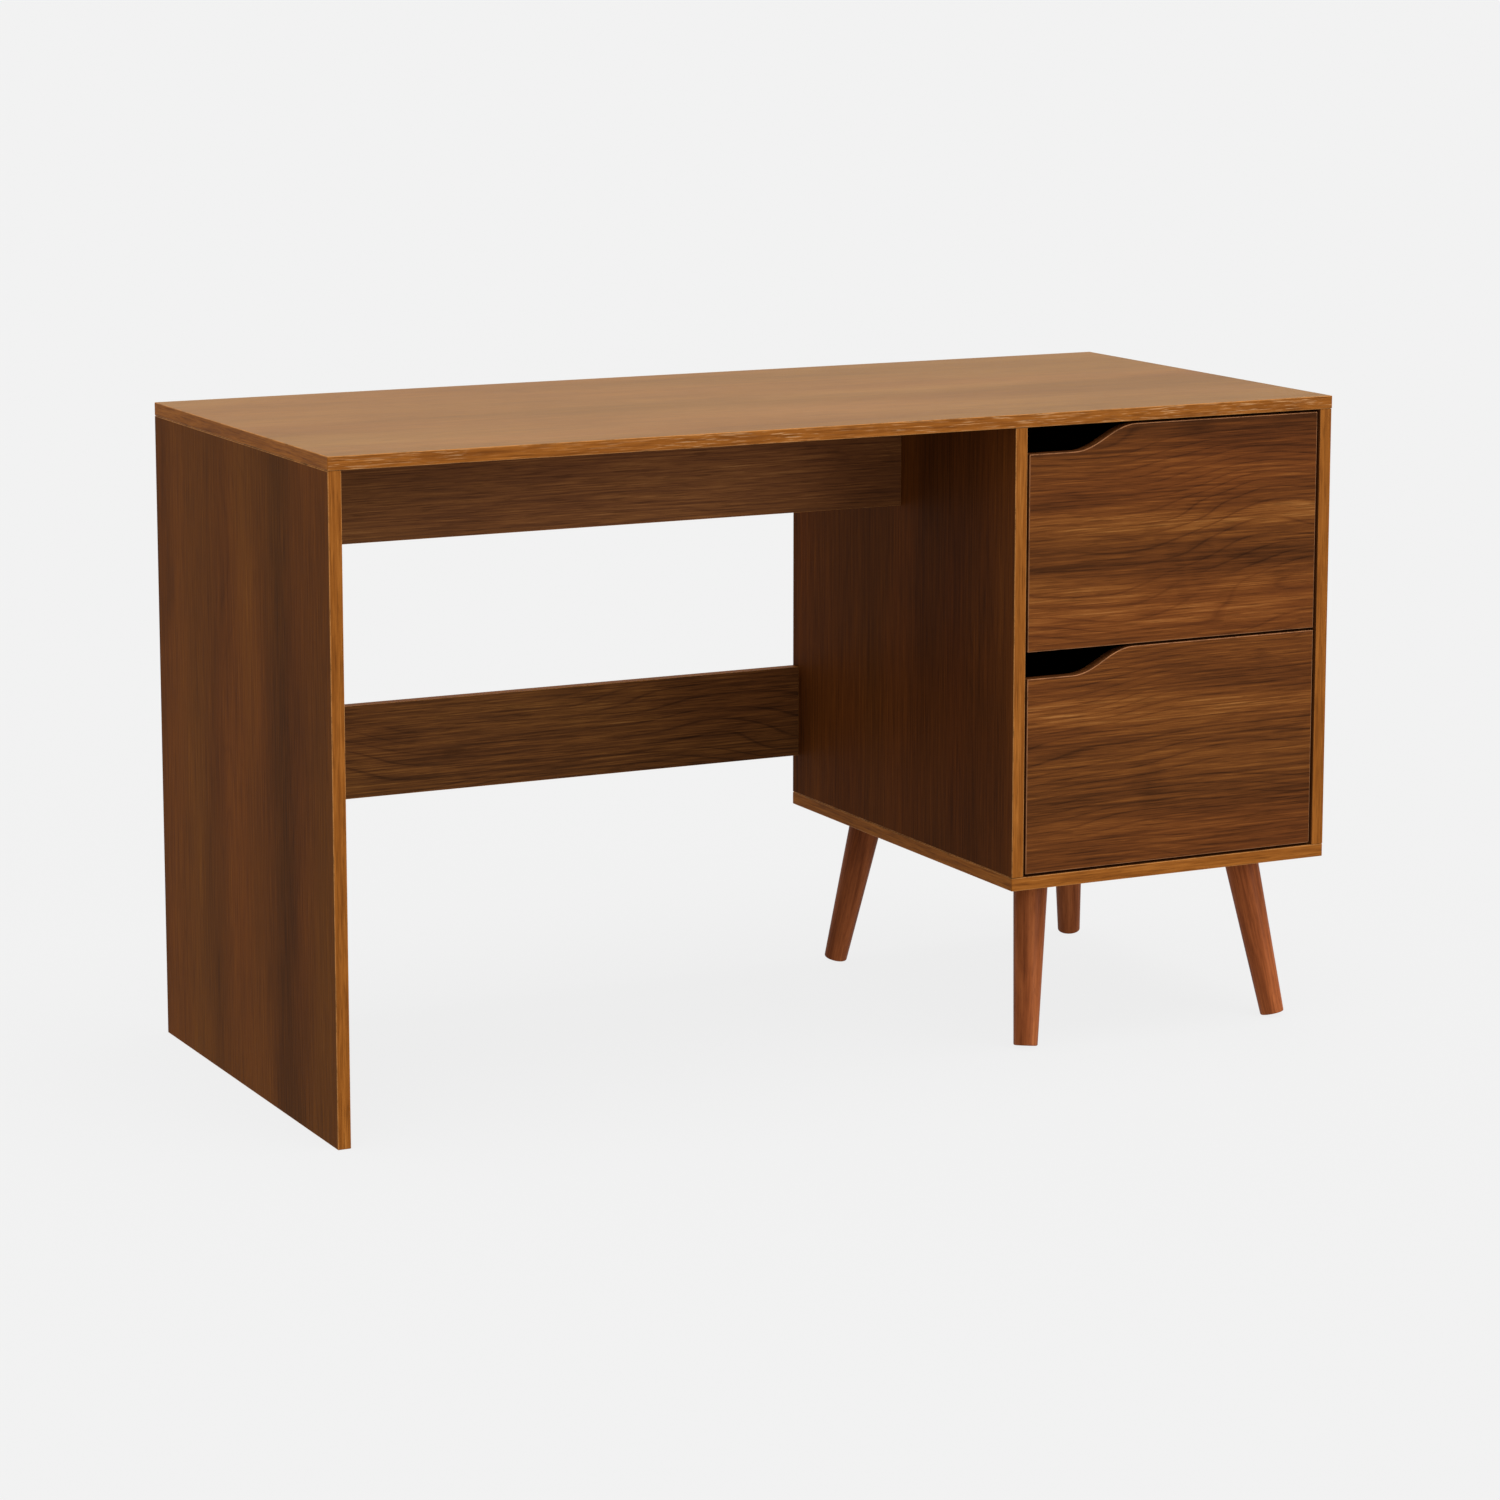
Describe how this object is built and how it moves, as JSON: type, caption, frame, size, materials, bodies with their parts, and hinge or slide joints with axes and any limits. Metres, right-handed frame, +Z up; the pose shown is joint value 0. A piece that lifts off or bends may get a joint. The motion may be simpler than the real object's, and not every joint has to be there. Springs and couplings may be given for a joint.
{
  "type": "writing desk with drawers",
  "caption": "Walnut-finish writing desk: full-width top, left side panel to the floor, and a right-hand drawer cabinet with scooped finger pulls on splayed tapered legs.",
  "frame": {"origin": "on the floor, under the middle of the desktop", "axes": "+X to the right of someone who sits at the desk, along its length; the drawers open along -Y; +Z up"},
  "size_m": [1.24, 0.545, 0.74],
  "materials": {
    "desktop_laminate": "light walnut laminate, long fine grain, satin sheen, golden edge banding",
    "panel_laminate": "dark walnut laminate, satin",
    "drawer_front_laminate": "mid walnut laminate with knots, horizontal grain, satin",
    "leg_wood": "solid wood, reddish brown stain, satin lacquer",
    "drawer_box_board": "foil-wrapped board, dark walnut",
    "hardboard": "printed hardboard, matt",
    "dowel_wood": "plain beech",
    "zinc_plated_steel": "bright zinc plate",
    "zinc_alloy": "as cast",
    "nylon": "moulded"
  },
  "bodies": {
    "frame": {"desktop": "desktop_laminate", "left_side_panel": "panel_laminate", "cabinet_left_side": "panel_laminate", "cabinet_right_side": "panel_laminate", "cabinet_bottom": "panel_laminate", "cabinet_back": "hardboard", "modesty_panel": "panel_laminate", "rear_rail": "panel_laminate", "dowel_left_panel_front": "dowel_wood", "dowel_left_panel_rear": "dowel_wood", "dowel_cabinet_left_front": "dowel_wood", "dowel_cabinet_left_rear": "dowel_wood", "dowel_cabinet_right_front": "dowel_wood", "dowel_cabinet_right_rear": "dowel_wood", "cam_bolt_modesty_left": "zinc_plated_steel", "cam_bolt_modesty_right": "zinc_plated_steel", "cam_bolt_rail_left": "zinc_plated_steel", "cam_bolt_rail_right": "zinc_plated_steel", "cam_modesty_left": "zinc_alloy", "cam_modesty_right": "zinc_alloy", "cam_rail_left": "zinc_alloy", "cam_rail_right": "zinc_alloy", "leg_front_left": "leg_wood", "leg_front_right": "leg_wood", "leg_rear_left": "leg_wood", "leg_rear_right": "leg_wood", "leg_plate_front_left": "zinc_plated_steel", "leg_plate_front_right": "zinc_plated_steel", "leg_plate_rear_left": "zinc_plated_steel", "leg_plate_rear_right": "zinc_plated_steel", "hanger_bolt_front_left": "zinc_plated_steel", "hanger_bolt_front_right": "zinc_plated_steel", "hanger_bolt_rear_left": "zinc_plated_steel", "hanger_bolt_rear_right": "zinc_plated_steel", "lower_left_cabinet_member": "zinc_plated_steel", "lower_right_cabinet_member": "zinc_plated_steel", "upper_left_cabinet_member": "zinc_plated_steel", "upper_right_cabinet_member": "zinc_plated_steel"},
    "lower_drawer": {"lower_drawer_front": "drawer_front_laminate", "lower_drawer_left_side": "drawer_box_board", "lower_drawer_right_side": "drawer_box_board", "lower_drawer_back": "drawer_box_board", "lower_drawer_bottom": "hardboard", "lower_left_drawer_member": "zinc_plated_steel", "lower_right_drawer_member": "zinc_plated_steel"},
    "upper_drawer": {"upper_drawer_front": "drawer_front_laminate", "upper_drawer_left_side": "drawer_box_board", "upper_drawer_right_side": "drawer_box_board", "upper_drawer_back": "drawer_box_board", "upper_drawer_bottom": "hardboard", "upper_left_drawer_member": "zinc_plated_steel", "upper_right_drawer_member": "zinc_plated_steel"},
    "lower_left_front_roller": {"lower_left_front_roller": "nylon"},
    "lower_left_rear_roller": {"lower_left_rear_roller": "nylon"},
    "lower_right_front_roller": {"lower_right_front_roller": "nylon"},
    "lower_right_rear_roller": {"lower_right_rear_roller": "nylon"},
    "upper_left_front_roller": {"upper_left_front_roller": "nylon"},
    "upper_left_rear_roller": {"upper_left_rear_roller": "nylon"},
    "upper_right_front_roller": {"upper_right_front_roller": "nylon"},
    "upper_right_rear_roller": {"upper_right_rear_roller": "nylon"}
  },
  "joints": [
    {"name": "lower_drawer_slide", "type": "slide", "parent": "frame", "child": "lower_drawer", "axis": [0, -1, 0], "range_m": [0, 0.3]},
    {"name": "upper_drawer_slide", "type": "slide", "parent": "frame", "child": "upper_drawer", "axis": [0, -1, 0], "range_m": [0, 0.3]},
    {"name": "lower_left_front_roller_spin", "type": "hinge", "parent": "frame", "child": "lower_left_front_roller", "pos_m": [0.21905, -0.2415, 0.2451], "axis": [1, 0, 0], "range_deg": [0, 1565]},
    {"name": "lower_left_rear_roller_spin", "type": "hinge", "parent": "lower_drawer", "child": "lower_left_rear_roller", "pos_m": [0.22145, 0.1325, 0.2405], "axis": [1, 0, 0], "range_deg": [0, 1565]},
    {"name": "lower_right_front_roller_spin", "type": "hinge", "parent": "frame", "child": "lower_right_front_roller", "pos_m": [0.59895, -0.2415, 0.2451], "axis": [1, 0, 0], "range_deg": [0, 1565]},
    {"name": "lower_right_rear_roller_spin", "type": "hinge", "parent": "lower_drawer", "child": "lower_right_rear_roller", "pos_m": [0.59655, 0.1325, 0.2405], "axis": [1, 0, 0], "range_deg": [0, 1565]},
    {"name": "upper_left_front_roller_spin", "type": "hinge", "parent": "frame", "child": "upper_left_front_roller", "pos_m": [0.21905, -0.2415, 0.5006], "axis": [1, 0, 0], "range_deg": [0, 1565]},
    {"name": "upper_left_rear_roller_spin", "type": "hinge", "parent": "upper_drawer", "child": "upper_left_rear_roller", "pos_m": [0.22145, 0.1325, 0.496], "axis": [1, 0, 0], "range_deg": [0, 1565]},
    {"name": "upper_right_front_roller_spin", "type": "hinge", "parent": "frame", "child": "upper_right_front_roller", "pos_m": [0.59895, -0.2415, 0.5006], "axis": [1, 0, 0], "range_deg": [0, 1565]},
    {"name": "upper_right_rear_roller_spin", "type": "hinge", "parent": "upper_drawer", "child": "upper_right_rear_roller", "pos_m": [0.59655, 0.1325, 0.496], "axis": [1, 0, 0], "range_deg": [0, 1565]}
  ],
  "couplings": [
    {"joint": "lower_left_front_roller_spin", "follows": "lower_drawer_slide", "rad_per_m": 90.909},
    {"joint": "lower_left_rear_roller_spin", "follows": "lower_drawer_slide", "rad_per_m": 90.909},
    {"joint": "lower_right_front_roller_spin", "follows": "lower_drawer_slide", "rad_per_m": 90.909},
    {"joint": "lower_right_rear_roller_spin", "follows": "lower_drawer_slide", "rad_per_m": 90.909},
    {"joint": "upper_left_front_roller_spin", "follows": "upper_drawer_slide", "rad_per_m": 90.909},
    {"joint": "upper_left_rear_roller_spin", "follows": "upper_drawer_slide", "rad_per_m": 90.909},
    {"joint": "upper_right_front_roller_spin", "follows": "upper_drawer_slide", "rad_per_m": 90.909},
    {"joint": "upper_right_rear_roller_spin", "follows": "upper_drawer_slide", "rad_per_m": 90.909}
  ]
}
